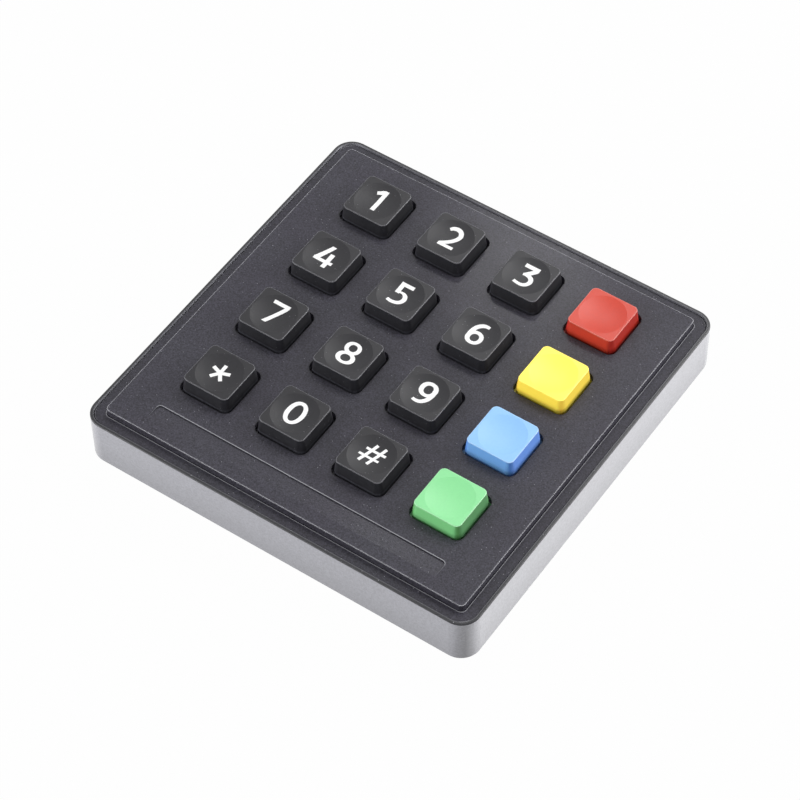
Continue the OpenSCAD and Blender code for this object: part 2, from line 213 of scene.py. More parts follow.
@dataclass(frozen=True)
class Moulded(Finish):
    """Injection-moulded plastic: grain from the tool, slight clouds, pale flecks and a painted highlight along
    the edges.
    """

    grain_mm: float = 0.5
    grain_depth_mm: float = 0.002
    grain_tone: float = 0.05
    cloud_mm: float = 14.0
    shade: str = "#000000"
    fleck: str = "#9a9aa2"
    fleck_share: float = 0.0
    fleck_mm: float = 0.8
    # The colour, strength and width of a painted highlight along the edges
    edge: str = "#8c8c94"
    edge_highlight_share: float = 0.0
    edge_highlight_mm: float = 0.3
    rough_swing: float = 0.05

    def dress(self, tree: Tree, shader: Node) -> None:
        """Adds grain, clouds, flecks and a painted highlight along the edges.

        Args:
            tree: The material's nodes.
            shader: Its Principled shader.
        """
        place = add_node(tree, "ShaderNodeTexCoord").outputs["Object"]
        grain = add_node(
            tree, "ShaderNodeTexNoise",
            {"Vector": place, "Scale": per_mm(self.grain_mm), "Detail": 3.0, "Roughness": 0.65},
        )
        level, rough = [
            add_node(tree, "ShaderNodeMapRange", (grain, GRAIN_LOW, GRAIN_HIGH, mid - swing, mid + swing))
            for mid, swing in ((1, self.grain_tone), (self.roughness, self.rough_swing))
        ]
        ground = add_node(
            tree, "ShaderNodeVectorMath", {0: self.ground(tree, place), "Scale": level}, operation="SCALE"
        )
        if self.fleck_share > 0:
            ground = self.flecks(tree, place, ground)
        # A painted highlight along the edges
        if self.edge_highlight_share > 0:
            ground = self.edges(tree, place, ground)
        bump = add_node(
            tree, "ShaderNodeBump", {"Height": grain, "Distance": self.grain_depth_mm * MM, "Strength": 1.0}
        )
        for name, source in (("Base Color", ground), ("Roughness", rough), ("Normal", bump)):
            tree.links.new(output(source), shader.inputs[name])

    def ground(self, tree: Tree, place: Socket) -> Socket:
        """Mixes the two tones of the plastic in wide clouds.

        Args:
            tree: The material's nodes.
            place: The coordinates.

        Returns:
            The colour.
        """
        cloud = add_node(
            tree, "ShaderNodeTexNoise",
            {"Vector": place, "Scale": per_mm(self.cloud_mm), "Detail": 4.0, "Roughness": 0.55},
        )
        spread = add_node(tree, "ShaderNodeMapRange", (cloud, CLOUD_LOW, CLOUD_HIGH))
        return add_node(
            tree, "ShaderNodeMix",
            {0: spread, MIX_A: linear(self.colour), MIX_B: linear(self.shade)}, data_type="RGBA",
        ).outputs[MIX_OUT]

    def flecks(self, tree: Tree, place: Socket, ground: Source) -> Socket:
        """Lays pale points, each a tenth of a cell wide, over the ground colour.

        Args:
            tree: The material's nodes.
            place: The coordinates.
            ground: The colour under the flecks.

        Returns:
            The colour with the flecks in it.
        """
        cells = add_node(tree, "ShaderNodeTexVoronoi", {"Vector": place, "Scale": per_mm(self.fleck_mm)})
        near = add_node(tree, "ShaderNodeMapRange", (cells, FLECK_FULL, FLECK_GONE, 1.0, 0.0))
        chosen = add_node(
            tree, "ShaderNodeMapRange", (cells.outputs["Color"], 0.5 - self.fleck_share, 0.5, 1.0, 0.0)
        )
        both = add_node(tree, "ShaderNodeMath", (near, chosen), operation="MULTIPLY")
        return add_node(
            tree, "ShaderNodeMix", {0: both, MIX_A: ground, MIX_B: linear(self.fleck)}, data_type="RGBA"
        ).outputs[MIX_OUT]

    def edges(self, tree: Tree, place: Socket, ground: Source) -> Socket:
        """Paints a highlight on the outer edges: a pale line where the light would catch them.

        Args:
            tree: The material's nodes.
            place: The coordinates, which a finish with bare areas needs.
            ground: The colour of the open surface.

        Returns:
            The colour with the painted edge highlight in it.
        """
        # Painted highlight: the edge colour is mixed in near convex edges, found by how open the inside of the
        # surface is
        near = add_node(
            tree, "ShaderNodeAmbientOcclusion", {"Distance": self.edge_highlight_mm * MM},
            inside=True, only_local=True, samples=8,
        ).outputs["AO"]
        line = add_node(tree, "ShaderNodeMapRange", (near, EDGE_HIGHLIGHT_FULL, EDGE_HIGHLIGHT_GONE, self.edge_highlight_share, 0.0))
        return add_node(
            tree, "ShaderNodeMix", {0: line, MIX_A: ground, MIX_B: linear(self.edge)}, data_type="RGBA"
        ).outputs[MIX_OUT]


@dataclass(frozen=True)
class WalledMoulding(Moulded):
    """A moulding with painted light and shade on its upright walls: their tone differs from the top's, and the
    corners' and side walls' tones differ from the front walls', by the way each faces the light.
    """

    # Painted light and shade, and on the dark glossy case a painted reflection of the pale table: the tones of
    # the front walls, the corners and the side walls
    front_wall_painted_light: str = "#909096"
    corner_painted_light: str = "#909096"
    side_wall_painted_light: str = "#909096"
    top_from: float = 0.15
    top_to: float = 0.85

    def ground(self, tree: Tree, place: Socket) -> Socket:
        """Mixes the walls' painted light and shade into the moulded ground, by the way the surface faces.

        Args:
            tree: The material's nodes.
            place: The coordinates.

        Returns:
            The colour.
        """
        # The walls' painted light and shade, picked by how far the wall faces sideways
        sideways = add_node(tree, "ShaderNodeMath", (self.facing(tree, "X"),), operation="ABSOLUTE")
        painted_light_ramp = add_node(tree, "ShaderNodeValToRGB", (sideways,))
        painted_light_stops = ((WALL_FRONT, self.front_wall_painted_light), (WALL_CORNER, self.corner_painted_light), (WALL_SIDE, self.side_wall_painted_light))
        painted_light_ramp.color_ramp.elements.new(0.5)
        for stop, (position, colour) in zip(painted_light_ramp.color_ramp.elements, painted_light_stops):
            stop.position = position
            stop.color = linear(colour)
        return add_node(
            tree, "ShaderNodeMix",
            {0: self.upright(tree, 1.0), MIX_A: super().ground(tree, place), MIX_B: painted_light_ramp}, data_type="RGBA",
        ).outputs[MIX_OUT]

    def facing(self, tree: Tree, axis: str) -> Socket:
        """Returns how far the surface faces along an axis."""
        normal = add_node(tree, "ShaderNodeNewGeometry").outputs["Normal"]
        return add_node(tree, "ShaderNodeSeparateXYZ", (normal,)).outputs[axis]

    def upright(self, tree: Tree, full: float) -> Node:
        """Tells walls from tops.

        Args:
            tree: The material's nodes.
            full: The value on an upright wall.

        Returns:
            A node that goes from full on a wall to 0 on top.
        """
        return add_node(
            tree, "ShaderNodeMapRange", (self.facing(tree, "Z"), self.top_from, self.top_to, full, 0.0),
            interpolation_type="SMOOTHSTEP",
        )

    def dress(self, tree: Tree, shader: Node) -> None:
        """Adds the moulded pattern, and keeps the gloss of a coated moulding to its walls.

        Args:
            tree: The material's nodes.
            shader: Its Principled shader.
        """
        super().dress(tree, shader)
        if self.coat > 0:
            tree.links.new(output(self.upright(tree, self.coat)), shader.inputs["Coat Weight"])


@dataclass(frozen=True)
class FootedMoulding(WalledMoulding):
    """A moulding with painted shade on its walls towards the foot, where little light reaches them, or painted
    light there where its tone is above 1.
    """

    # Where the painted shade or light at the foot starts, how far it rises and its tone
    foot_mm: float = 13.1
    foot_rise_mm: float = 1.1
    foot_painted_light: float = 0.62

    def rise(self, tree: Tree, place: Socket, low: float, high: float) -> Node:
        """Grades a value by height.

        Args:
            tree: The material's nodes.
            place: The coordinates.
            low: The value at the foot.
            high: The value above it.

        Returns:
            A node that goes from low to high.
        """
        height = add_node(tree, "ShaderNodeSeparateXYZ", (place,)).outputs["Z"]
        foot, full = self.foot_mm * MM, (self.foot_mm + self.foot_rise_mm) * MM
        return add_node(
            tree, "ShaderNodeMapRange", (height, foot, full, low, high), interpolation_type="SMOOTHSTEP"
        )

    def ground(self, tree: Tree, place: Socket) -> Node:
        """Adds the painted shade, or painted light, at the foot to the walled ground."""
        # Painted shade at the foot, or painted light where the tone is above 1
        tone = self.rise(tree, place, self.foot_painted_light, 1.0)
        return add_node(
            tree, "ShaderNodeVectorMath", {0: super().ground(tree, place), "Scale": tone}, operation="SCALE"
        )

    def dress(self, tree: Tree, shader: Node) -> None:
        """Adds the walled pattern, and above the foot a painted glow, an emission that stands in for light
        through the cap.

        Args:
            tree: The material's nodes.
            shader: Its Principled shader.
        """
        super().dress(tree, shader)
        # A painted glow above the foot
        if self.painted_glow_share > 0:
            place = add_node(tree, "ShaderNodeTexCoord").outputs["Object"]
            glow = self.rise(tree, place, 0.0, self.painted_glow_share)
            tree.links.new(output(glow), shader.inputs["Emission Strength"])


@dataclass(frozen=True)
class OpenedMoulding(Moulded):
    """The panel: a painted highlight on its outer edges, fainter at the label recess, painted shade in a soft
    rim round each opening, and painted light on the walls down inside the openings.

    The places follow the panel's own sizes, in millimetres: the key grid, its openings, the
    panel's outer rim, the label recess and the height of the raised field.
    """

    grid_up_mm: float = 3.5
    pitch_mm: float = 19.05
    open_half_mm: float = 6.5
    open_r_mm: float = 1.88
    # Painted shade in a soft rim round each opening: its width and tone
    opening_shade_mm: float = 0.5
    opening_shade_tone: float = 0.6
    grid_half_mm: float = 37.5
    rim_middle_mm: Point2 = (-0.2, 0.0)
    rim_half_mm: Point2 = (46.4, 46.2)
    open_z_mm: float = 13.05
    # Painted light on the walls down inside the openings: how deep it reaches and how strong it is
    gap_light_mm: float = 0.4
    gap_light_tone: float = 2.5
    # Where the painted edge highlight is fainter or gone: the label recess, below the field's top, and its
    # strength on the lower ring
    label_middle_mm: Point2 = (0.0, -39.6)
    label_half_mm: Point2 = (39.0, 3.6)
    label_end_mm: float = -37.8
    label_fade_mm: float = 0.7
    label_highlight_share: float = 0.42
    soft_from: float = 0.9
    field_drop_mm: float = 0.12
    low_from_mm: float = 1.3
    low_to_mm: float = 1.0
    low_highlight_share: float = 0.45

    def reach(self, tree: Tree, place: Socket, middle_mm: Point2, half_mm: Point2) -> Node:
        """Measures how far a point is from the middle of a rectangle on the panel.

        Args:
            tree: The material's nodes.
            place: The coordinates.
            middle_mm: The rectangle's middle.
            half_mm: The rectangle's half width and half height.

        Returns:
            A node whose value is below 1 inside the rectangle and above 1 outside it.
        """
        out: Source = place
        for operation, value in (
            ("SUBTRACT", (middle_mm[0] * MM, middle_mm[1] * MM, 0.0)),
            ("ABSOLUTE", (0.0, 0.0, 0.0)),
            ("DIVIDE", (half_mm[0] * MM, half_mm[1] * MM, 1.0)),
        ):
            out = add_node(tree, "ShaderNodeVectorMath", (out, value), operation=operation)
        parts = add_node(tree, "ShaderNodeSeparateXYZ", (out,))
        return add_node(
            tree, "ShaderNodeMath", (parts.outputs["X"], parts.outputs["Y"]), operation="MAXIMUM"
        )

    def from_opening(self, tree: Tree, place: Socket) -> Socket:
        """Measures how far a point is from the inner square of the nearest opening.

        Args:
            tree: The material's nodes.
            place: The coordinates.

        Returns:
            The distance in metres, which is the corner radius at the opening's edge.
        """
        inner = (self.open_half_mm - self.open_r_mm) * MM
        out: Source = place
        for operation, value in (
            ("SUBTRACT", (0.0, self.grid_up_mm * MM, 0.0)),
            ("MULTIPLY", (per_mm(self.pitch_mm), per_mm(self.pitch_mm), 0.0)),
            ("FRACTION", (0.0, 0.0, 0.0)),
            ("SUBTRACT", (0.5, 0.5, 0.0)),
            ("ABSOLUTE", (0.0, 0.0, 0.0)),
            ("MULTIPLY", (self.pitch_mm * MM, self.pitch_mm * MM, 0.0)),
            ("SUBTRACT", (inner, inner, 0.0)),
            ("MAXIMUM", (0.0, 0.0, 0.0)),
        ):
            out = add_node(tree, "ShaderNodeVectorMath", (out, value), operation=operation)
        return add_node(tree, "ShaderNodeVectorMath", (out,), operation="LENGTH").outputs["Value"]

    def edges(self, tree: Tree, place: Socket, ground: Source) -> Socket:
        """Paints a highlight on the panel's outer edges, shade on the rims of its openings and light on the
        walls down inside them.

        Args:
            tree: The material's nodes.
            place: The coordinates.
            ground: The colour of the open surface.

        Returns:
            The colour with the painted light and shade in it.
        """
        parts = add_node(tree, "ShaderNodeSeparateXYZ", (place,))
        y, z, top = parts.outputs["Y"], parts.outputs["Z"], self.open_z_mm
        grid = self.reach(tree, place, (0.0, self.grid_up_mm), (self.grid_half_mm, self.grid_half_mm))
        outside = add_node(tree, "ShaderNodeMath", (grid, 1.0), operation="GREATER_THAN")
        # Painted shade round each opening, and painted light on the walls down inside it
        start, end = self.open_r_mm * MM, (self.open_r_mm + self.opening_shade_mm) * MM
        opening_shade = add_node(
            tree, "ShaderNodeMapRange", (self.from_opening(tree, place), start, end, self.opening_shade_tone, 1.0),
            interpolation_type="SMOOTHSTEP",
        )
        start, end = (top - self.gap_light_mm) * MM, top * MM
        gap_light = add_node(tree, "ShaderNodeMapRange", (z, start, end, self.gap_light_tone, 0.0))
        inner = add_node(tree, "ShaderNodeMath", (opening_shade, gap_light), operation="MAXIMUM")
        tone = add_node(tree, "ShaderNodeMix", {"Factor": outside, "A": inner, "B": 1.0})
        shaded = add_node(tree, "ShaderNodeVectorMath", {0: ground, "Scale": tone}, operation="SCALE")
        lit = super().edges(tree, place, shaded)

        # Where the painted edge highlight goes: fainter at the label recess, near the field's top or on the
        # lower ring, inside the panel's outer rim and outside the key grid
        start, end = self.label_end_mm * MM, (self.label_end_mm + self.label_fade_mm) * MM
        fade = add_node(tree, "ShaderNodeMapRange", (y, start, end, 0.0, self.label_highlight_share))
        label = self.reach(tree, place, self.label_middle_mm, self.label_half_mm)
        share = add_node(tree, "ShaderNodeMapRange", (label, self.soft_from, 1.0, fade, 1.0))
        high = add_node(tree, "ShaderNodeMapRange", (z, (top - self.field_drop_mm) * MM, top * MM))
        start, end = (top - self.low_from_mm) * MM, (top - self.low_to_mm) * MM
        low = add_node(tree, "ShaderNodeMapRange", (z, start, end, self.low_highlight_share, 0.0))
        level = add_node(tree, "ShaderNodeMath", (high, low), operation="MAXIMUM")
        rim = self.reach(tree, place, self.rim_middle_mm, self.rim_half_mm)
        within = add_node(tree, "ShaderNodeMath", (rim, 1.0), operation="LESS_THAN")
        for factor in (outside, within, level):
            share = add_node(tree, "ShaderNodeMath", (share, factor), operation="MULTIPLY")
        return add_node(
            tree, "ShaderNodeMix", {0: share, MIX_A: shaded, MIX_B: lit}, data_type="RGBA"
        ).outputs[MIX_OUT]


class Finishes(Enum):
    """The finishes of the keypad, each under the name of the node or kind of node that it dresses."""

    # Satin ABS from a polished tool: near black on top, with glossier walls that mirror the pale table; the
    # pale grey of its walls is a painted reflection of the table, lighter on the side walls and darker at the
    # corners, with painted shade towards the foot and a painted highlight along the edges
    CASE = FootedMoulding(
        "abs_satin_moulded_surround", "#222226", 0.34, shade="#1e1e22", coat=1.0, coat_roughness=0.25,
        grain_mm=0.42, grain_depth_mm=0.0014, grain_tone=0.2, fleck_share=0.12,
        fleck="#d8d8e0", edge="#a0a0a8", edge_highlight_share=0.32, top_to=0.4,
        front_wall_painted_light="#a0a0a9", corner_painted_light="#8b8b92", side_wall_painted_light="#bbbbc2",
        foot_mm=0.0, foot_rise_mm=9.0, foot_painted_light=0.8,
    )
    # ABS moulded in a spark-eroded tool: a fine sandy grain that scatters the light, with pale points, a
    # painted highlight along its outer edges, painted shade round the openings and painted light down inside
    # them
    FRONT_PANEL = OpenedMoulding(
        "abs_spark_eroded_panel", "#393840", 0.5, shade="#36343d", specular=0.25, coat=0.12,
        coat_roughness=0.14, grain_mm=0.33, grain_depth_mm=0.016, grain_tone=0.7, fleck_share=0.34,
        fleck="#c8c8d0", edge="#f8f8ff", edge_highlight_share=1.0, edge_highlight_mm=0.32,
    )
    # ABS key caps from a polished tool: smooth, dark, with a soft sheen in the dish, a painted highlight along
    # the edges, painted light and shade on the sides by the way they face, and painted light low in the gap at
    # the foot
    KEY_BLACK = FootedMoulding(
        "abs_satin_key_black", "#121117", 0.36, shade="#0f0e14", specular=0.46, grain_mm=0.6,
        grain_depth_mm=0.003, grain_tone=0.3, fleck_share=0.2, fleck="#8c8c94", edge="#b8b8c0",
        edge_highlight_share=0.95, front_wall_painted_light="#242428", corner_painted_light="#2c2c31", side_wall_painted_light="#19191c",
        foot_painted_light=3.5, foot_mm=12.9, foot_rise_mm=0.6,
    )
    # Coloured ABS key caps: bright satin tops with a painted highlight along the edges and painted shade on
    # the sides, by the way they face and towards the foot; the yellow one has a painted glow
    KEY_RED = FootedMoulding(
        "abs_satin_key_red", "#cf3f28", 0.33, shade="#c93a26", grain_mm=0.6, grain_tone=0.03,
        edge="#ffd8cc", edge_highlight_share=0.9, front_wall_painted_light="#cf412f", corner_painted_light="#c93028", side_wall_painted_light="#b32a1d",
    )
    KEY_YELLOW = FootedMoulding(
        "abs_satin_key_yellow", "#fff45c", 0.33, shade="#fff054", grain_mm=0.6, grain_tone=0.02,
        edge="#fffcb0", edge_highlight_share=0.6, front_wall_painted_light="#ffe54e", corner_painted_light="#ffd448", side_wall_painted_light="#ddc648",
        glow="#ffd04c", painted_glow_share=0.3, foot_painted_light=0.75,
    )
    KEY_BLUE = FootedMoulding(
        "abs_satin_key_blue", "#94c8fb", 0.33, shade="#90c4f8", grain_mm=0.6, grain_tone=0.02,
        edge="#f4faff", edge_highlight_share=0.9, front_wall_painted_light="#7eb5ff", corner_painted_light="#629bf8", side_wall_painted_light="#6e9cee",
    )
    KEY_GREEN = FootedMoulding(
        "abs_satin_key_green", "#91e59f", 0.33, shade="#8ce09a", grain_mm=0.6, grain_tone=0.02,
        edge="#f0fff2", edge_highlight_share=0.9, front_wall_painted_light="#89e091", corner_painted_light="#69b767", side_wall_painted_light="#619d66",
    )
    # Hard white ink, slightly glossy, laid on the caps
    LEGEND = Moulded(
        "ink_white_printed", "#fafafa", 0.4, shade="#f4f4f4", grain_mm=0.3, grain_depth_mm=0.001
    )
    # Black silicone seal, matt
    PANEL_SEAL = Moulded(
        "silicone_black_moulded", "#1c1c1d", 0.75, shade="#19191a", grain_mm=0.4, grain_depth_mm=0.004
    )
    # Grey silicone mat, matt and a little waxy
    KEY_MAT = Moulded(
        "silicone_grey_moulded", "#8f9195", 0.62, shade="#878a8e", grain_mm=0.5, grain_depth_mm=0.004
    )
    # Carbon-filled silicone pills, matt black
    PILL = Moulded(
        "silicone_carbon_pill", "#161616", 0.8, shade="#121212", grain_mm=0.2, grain_depth_mm=0.006
    )
    # Glass-epoxy board under green solder mask, glossy over a faint weave
    PCB = Moulded(
        "glass_epoxy_solder_mask", "#1f6b3c", 0.35, shade="#1b6236", grain_mm=0.5, grain_depth_mm=0.006,
        coat=0.4, coat_roughness=0.15,
    )
    # Natural nylon connector housing, moulded, ivory and slightly cloudy
    HEADER_SHROUD = Moulded(
        "nylon_ivory_moulded", "#e4dfcf", 0.45, shade="#ddd7c5", grain_mm=0.4, grain_depth_mm=0.003
    )
    # ABS rear cover with a fine eroded grain and a faint painted highlight along its edges
    REAR_COVER = Moulded(
        "abs_fine_grain_cover", "#242427", 0.55, shade="#202023", grain_depth_mm=0.01, grain_tone=0.15,
        edge="#77777f", edge_highlight_share=0.4,
    )
    # Gold-flashed brass pins and contact pads, bright
    HEADER_PINS = Moulded(
        "brass_gold_plated", "#e3c172", 0.25, metallic=1.0, shade="#dcb865", grain_mm=0.3,
        grain_depth_mm=0.001,
    )
    # Zinc-plated steel screws, bright with a faint bluish cloud
    COVER_SCREWS = Moulded(
        "steel_zinc_plated", "#c3c6cb", 0.32, metallic=1.0, shade="#b4b8c2", grain_mm=0.4,
        grain_depth_mm=0.001, cloud_mm=2.0,
    )
    # Turned brass inserts, yellow, with fine tool marks
    MOUNT_INSERTS = Moulded(
        "brass_turned", "#d8b36a", 0.3, metallic=1.0, shade="#cda65c", grain_mm=0.3,
        grain_depth_mm=0.001, cloud_mm=2.0,
    )

    def material(self) -> bpy.types.Material:
        """Returns this finish's material."""
        return self.value.material()


def dress_cad_nodes() -> None:
    """Gives every CAD node its finish."""
    for name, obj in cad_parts.items():
        kind = Finishes.PILL if name.startswith("pill_") else Finishes.KEY_BLACK
        finish = Finishes.__members__.get(name.upper(), kind)
        for slot in obj.material_slots:
            slot.material = finish.material()
        LOG.info("%s dressed as %s", name, finish.value.name)


@dataclass(frozen=True)
class Stroke:
    """A line of ink: points (x, y, width) in millimetres with square ends."""

    points: tuple[Point3, ...]
    smooth: bool = True
    step: float = 0.12

    def samples(self) -> list[Point3]:
        """Follows the centre line at even steps.

        Returns:
            Points with the width at each.
        """
        line: list[Point3] = []
        pts = [Vector(p) for p in self.points]
        for i in range(len(pts) - 1):
            a, b = pts[i], pts[i + 1]
            before = pts[i - 1] if i > 0 else 2 * a - b
            after = pts[i + 2] if i + 2 < len(pts) else 2 * b - a
            count = max(2, round((b.to_2d() - a.to_2d()).length / self.step))
            for k in range(count):
                t = k / count
                if self.smooth:
                    p = 0.5 * (
                        2 * a + (b - before) * t
                        + (2 * before - 5 * a + 4 * b - after) * t**2
                        + (3 * a - before - 3 * b + after) * t**3
                    )
                else:
                    p = a.lerp(b, t)
                line.append(tuple(p))
        line.append(tuple(pts[-1]))
        return line

    def faces(self) -> list[list[Point2]]:
        """Widens the centre line.

        Returns:
            Quads laid end to end.
        """
        line = self.samples()
        sides: list[tuple[Point2, Point2]] = []
        for i, (x, y, w) in enumerate(line):
            x0, y0, _ = line[max(i - 1, 0)]
            x1, y1, _ = line[min(i + 1, len(line) - 1)]
            length = math.hypot(x1 - x0, y1 - y0)
            nx, ny = -(y1 - y0) / length * w / 2, (x1 - x0) / length * w / 2
            sides.append(((x + nx, y + ny), (x - nx, y - ny)))
        return [[a[1], b[1], b[0], a[0]] for a, b in zip(sides, sides[1:])]


@dataclass(frozen=True)
class Ring:
    """A closed bowl of ink between two ovals, in millimetres."""

    centre: Point2
    outer: Point2
    inner: Point2
    inner_centre: Point2 | None = None
    power: float = 2.15
    count: int = 72

    def oval(self, centre: Point2, radii: Point2) -> list[Point2]:
        """Returns the points of one oval.

        Args:
            centre: Its middle.
            radii: Its half width and half height.

        Returns:
            Points all round it.
        """
        points: list[Point2] = []
        for k in range(self.count):
            c, s = math.cos(math.tau * k / self.count), math.sin(math.tau * k / self.count)
            reach = (abs(c) ** self.power + abs(s) ** self.power) ** (-1 / self.power)
            points.append((centre[0] + radii[0] * c * reach, centre[1] + radii[1] * s * reach))
        return points

    def faces(self) -> list[list[Point2]]:
        """Bridges the two ovals.

        Returns:
            Quads all round.
        """
        out = self.oval(self.centre, self.outer)
        inn = self.oval(self.inner_centre or self.centre, self.inner)
        turn = range(self.count)
        return [[out[k], out[(k + 1) % self.count], inn[(k + 1) % self.count], inn[k]] for k in turn]


@dataclass(frozen=True)
class Block:
    """A straight-edged patch of ink, in millimetres, counter-clockwise."""

    points: tuple[Point2, ...]
    step: float = 0.3

    def faces(self) -> list[list[Point2]]:
        """Puts points along the sides, which can then follow the dish.

        Returns:
            One face.
        """
        face: list[Point2] = []
        for (x0, y0), (x1, y1) in zip(self.points, self.points[1:] + self.points[:1]):
            count = max(1, math.ceil(math.hypot(x1 - x0, y1 - y0) / self.step))
            face += [(x0 + (x1 - x0) * k / count, y0 + (y1 - y0) * k / count) for k in range(count)]
        return [face]


Ink = Stroke | Ring | Block


def bar(start: Point3, end: Point3) -> Stroke:
    """Returns a straight line of ink."""
    return Stroke((start, end), smooth=False)


def spokes(centre: Point2, length: float, width: float, count: int) -> tuple[Stroke, ...]:
    """Returns the arms of a star from its centre, the first one upwards.

    Args:
        centre: The star's middle.
        length: Each arm's length.
        width: Each arm's width.
        count: How many arms there are.

    Returns:
        One stroke for each arm.
    """
    arms = []
    for k in range(count):
        angle = math.tau * (0.25 + k / count)
        tip = (centre[0] + length * math.cos(angle), centre[1] + length * math.sin(angle), width)
        arms.append(bar((centre[0], centre[1], width), tip))
    return tuple(arms)


GLYPHS: dict[str, tuple[Ink, ...]] = {
    "1": (
        bar((0.3, 3.43, 1.02), (0.3, -2.69, 1.02)),
        Stroke(((-1.48, 2.04, 0.9), (-0.85, 2.36, 0.94), (-0.2, 2.84, 1), (0.21, 3.17, 0.5))),
    ),
    "2": (
        Stroke((
            (-1.58, 2.09, 0.76), (-1.02, 2.64, 0.96), (-0.05, 2.9, 1.04), (0.92, 2.52, 1.06),
            (1.44, 1.55, 1.04), (1.22, 0.5, 1.02), (0.5, -0.58, 0.96), (-0.5, -1.5, 0.94), (-1.36, -2.17, 0.9),
        )),
        bar((-1.83, -2.36, 0.83), (1.88, -2.36, 0.83)),
        Block(((-1.83, -1.89), (-1.83, -2.55), (-0.95, -2.55), (-0.95, -1.39))),
    ),
    "3": (
        bar((-1.77, 2.68, 0.97), (1.75, 2.68, 0.97)),
        Block((
            (1.75, 2.45), (0.36, 2.45), (0.41, 2.12), (-0.97, 0.6), (-0.97, 0.35), (0.37, 0.25), (0.71, 0.88),
            (1.71, 2.04),
        )),
        Stroke((
            (-0.97, 0.32, 0.64), (-0.2, 0.4, 0.7), (0.6, 0.3, 0.94), (1.27, -0.15, 1.02), (1.55, -0.95, 1.04),
            (1.3, -1.8, 0.98), (0.68, -2.32, 0.9), (-0.1, -2.5, 0.8), (-0.95, -2.44, 0.76),
            (-1.75, -2.29, 0.78),
        )),
    ),
    "4": (
        Block(((-0.49, 3.15), (-2.45, -0.96), (-2.45, -1.45), (-1.48, -1.45), (-1.1, -0.7), (0.55, 3.15))),
        bar((-2.45, -1.22, 0.85), (2.19, -1.22, 0.85)),
        bar((0.84, 1.29, 1.04), (0.84, -2.89, 1.04)),
    ),
    "5": (
        bar((-1.14, 3.33, 1.02), (-1.14, 0.25, 1.02)),
        bar((-1.65, 2.87, 0.92), (1.55, 2.87, 0.92)),
        Stroke((
            (-1.15, 0.56, 0.56), (-0.45, 0.74, 0.5), (0.36, 0.66, 0.76), (1.02, 0.16, 0.98),
            (1.28, -0.68, 1.04), (1.06, -1.5, 1), (0.5, -2.06, 0.92), (-0.3, -2.32, 0.86), (-1.1, -2.38, 0.82),
            (-1.97, -2.21, 0.76),
        )),
    ),
    "6": (
        Ring((0.1, -0.94), (1.95, 1.88), (0.95, 1.05), inner_centre=(0.13, -0.93)),
        Stroke((
            (1.57, 2.78, 0.72), (0.9, 2.86, 0.82), (0.1, 2.66, 0.94), (-0.62, 2.1, 1), (-1.1, 1.3, 1),
            (-1.33, 0.3, 1), (-1.36, -0.7, 1), (-1.21, -1.35, 0.94),
        )),
    ),
    "7": (
        bar((-1.99, 2.95, 0.88), (2.05, 2.95, 0.88)),
        Block(((1, 2.95), (1, 2.45), (-1.39, -2.7), (-0.33, -2.7), (1.93, 2.19), (2.04, 2.95))),
    ),
    "8": (
        Ring((0.01, 1.64), (1.87, 1.62), (0.9, 0.91), inner_centre=(0.01, 1.66)),
        Ring((0.01, -1.22), (2.17, 1.65), (1.09, 0.95), inner_centre=(0, -1.2)),
        Block(((-1.16, 0.45), (-1.19, 0.2), (1.19, 0.2), (1.16, 0.45))),
    ),
    "9": (
        Ring((0.05, 1.33), (2.05, 1.95), (0.99, 1.13), inner_centre=(0.04, 1.31)),
        Stroke((
            (-1.6, -2.25, 0.72), (-0.9, -2.38, 0.8), (-0.1, -2.28, 0.88), (0.62, -1.84, 0.96), (1.2, -1, 1.02),
            (1.5, 0.1, 1.04), (1.56, 1, 1.02), (1.36, 1.75, 0.94),
        )),
    ),
    "0": (
        Ring((-0.03, 0.26), (2.18, 3.07), (1.16, 2.25), inner_centre=(-0.03, 0.25)),
    ),
    "star": spokes((0, 0.12), 2.23, 0.82, 5),
    "hash": (
        bar((-0.25, 2.73, 0.68), (-1.75, -2.37, 0.68)),
        bar((1.8, 2.77, 0.68), (0.27, -2.37, 0.68)),
        bar((-2.04, 1.11, 0.6), (2.63, 1.11, 0.6)),
        bar((-2.68, -0.72, 0.56), (2.09, -0.72, 0.56)),
    ),
}


